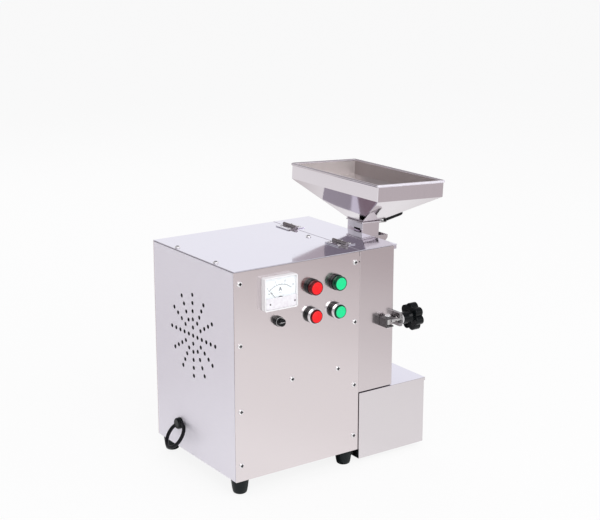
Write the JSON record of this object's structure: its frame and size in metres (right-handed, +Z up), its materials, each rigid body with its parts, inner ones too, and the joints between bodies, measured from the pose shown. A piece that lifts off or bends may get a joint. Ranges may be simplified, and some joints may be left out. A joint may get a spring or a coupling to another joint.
{
  "type": "bench nut grinder",
  "caption": "Bench nut grinder in polished stainless sheet: box casing with motor and controls, inclined hopper, clamped grinding head and sliding receiving bin.",
  "frame": {"origin": "under the middle of the machine's box, on the surface that its feet stand on", "axes": "+X along the control panel towards the grinding head, +Y from the control panel to the back, +Z up"},
  "size_m": [0.4746, 0.3024, 0.4937],
  "materials": {
    "polished_steel": "polished stainless sheet",
    "mirror_steel": "mirror polished stainless sheet",
    "plain_steel": "satin stainless steel",
    "sieve_steel": "perforated stainless sheet",
    "cast_metal": "machined casting",
    "motor_paint": "satin paint",
    "black_plastic": "satin",
    "black_rubber": "matte",
    "white_plastic": "gloss",
    "dial_paper": "matte",
    "clear_plastic": "clear",
    "chrome_trim": "bright",
    "red_plastic": "translucent gloss",
    "green_plastic": "translucent gloss"
  },
  "bodies": {
    "casing": {"base_tray": "plain_steel", "vent_panel": "polished_steel", "front_panel": "polished_steel", "rear_panel": "polished_steel", "top_cover": "mirror_steel", "partition_plate": "plain_steel", "head_front_cover": "polished_steel", "head_rear_cover": "polished_steel", "head_end_plate": "plain_steel", "head_floor": "plain_steel", "foot_front_left": "black_rubber", "foot_front_right": "black_rubber", "foot_rear_left": "black_rubber", "foot_rear_right": "black_rubber", "motor_shell": "motor_paint", "motor_front_bell": "cast_metal", "motor_fan_cowl": "black_plastic", "motor_cradle": "plain_steel", "chamber_drum": "cast_metal", "sieve_ring": "sieve_steel", "wear_ring": "cast_metal", "chamber_door": "cast_metal", "door_hinge_bracket": "plain_steel", "feed_chute": "polished_steel", "hopper": "mirror_steel", "lid_hinge_front_fixed_leaf": "plain_steel", "lid_hinge_rear_fixed_leaf": "plain_steel", "clamp_bracket": "plain_steel", "clamp_pin": "plain_steel", "meter_case": "white_plastic", "meter_dial": "dial_paper", "meter_lens": "clear_plastic", "stop_lamp_body": "black_plastic", "stop_lamp_lens": "red_plastic", "stop_button_body": "chrome_trim", "start_lamp_body": "black_plastic", "start_lamp_lens": "green_plastic", "start_button_body": "chrome_trim", "fuse_holder": "black_plastic", "cord_gland": "black_plastic", "cord_loop": "black_rubber", "bin_rail_front": "plain_steel", "bin_rail_rear": "plain_steel"},
    "lid": {"head_lid": "mirror_steel", "lid_hinge_front_lid_leaf": "plain_steel", "lid_hinge_rear_lid_leaf": "plain_steel"},
    "feed_gate": {"gate_plate": "plain_steel", "gate_grip": "black_plastic"},
    "swing_bolt": {"swing_bolt": "plain_steel"},
    "knob_washer": {"clamp_washer": "plain_steel"},
    "star_knob": {"star_knob": "black_plastic"},
    "stop_button": {"stop_button_cap": "red_plastic"},
    "start_button": {"start_button_cap": "green_plastic"},
    "rotor": {"motor_shaft": "plain_steel", "motor_fan": "black_plastic", "grinding_rotor": "plain_steel"},
    "bin": {"receiving_bin": "mirror_steel"},
    "needle": {"meter_needle": "black_plastic"},
    "fuse_cap": {"fuse_cap": "black_plastic"}
  },
  "joints": [
    {"name": "lid_hinge", "type": "hinge", "parent": "casing", "child": "lid", "pos_m": [0.03554, 0.0154, 0.3903], "axis": [0, -1, 0], "range_deg": [0, 20]},
    {"name": "feed_gate_slide", "type": "slide", "parent": "casing", "child": "feed_gate", "axis": [0.9987, 0, -0.0506], "range_m": [0, 0.034]},
    {"name": "bolt_swing", "type": "hinge", "parent": "casing", "child": "swing_bolt", "pos_m": [0.08954, -0.1271, 0.255], "axis": [0, 0, -1], "range_deg": [0, 100]},
    {"name": "knob_travel", "type": "slide", "parent": "swing_bolt", "child": "knob_washer", "axis": [1, 0, 0], "range_m": [0, 0.0075]},
    {"name": "knob_spin", "type": "hinge", "parent": "knob_washer", "child": "star_knob", "pos_m": [0.13954, -0.1271, 0.255], "axis": [1, 0, 0], "range_deg": [0, 2160]},
    {"name": "stop_button_push", "type": "slide", "parent": "casing", "child": "stop_button", "axis": [0, 1, 0], "range_m": [0, 0.0035], "stiffness_N_per_m": 500, "springref_m": -0.001},
    {"name": "start_button_push", "type": "slide", "parent": "casing", "child": "start_button", "axis": [0, 1, 0], "range_m": [0, 0.0035], "stiffness_N_per_m": 500, "springref_m": -0.001},
    {"name": "rotor_spin", "type": "hinge", "parent": "casing", "child": "rotor", "pos_m": [-0.01546, 0.0154, 0.247], "axis": [1, 0, 0], "continuous": true},
    {"name": "bin_slide", "type": "slide", "parent": "casing", "child": "bin", "axis": [1, 0, 0], "range_m": [0, 0.15]},
    {"name": "needle_turn", "type": "hinge", "parent": "casing", "child": "needle", "pos_m": [-0.13216, -0.1256, 0.3245], "axis": [0, 1, 0], "range_deg": [0, 84], "stiffness_Nm_per_rad": 0.0002, "springref_deg": -5.73},
    {"name": "fuse_cap_turn", "type": "hinge", "parent": "casing", "child": "fuse_cap", "pos_m": [-0.13146, -0.1271, 0.292], "axis": [0, 1, 0], "range_deg": [-90, 0]}
  ],
  "couplings": [
    {"joint": "knob_travel", "follows": "knob_spin", "m_per_rad": 0.00019894}
  ]
}
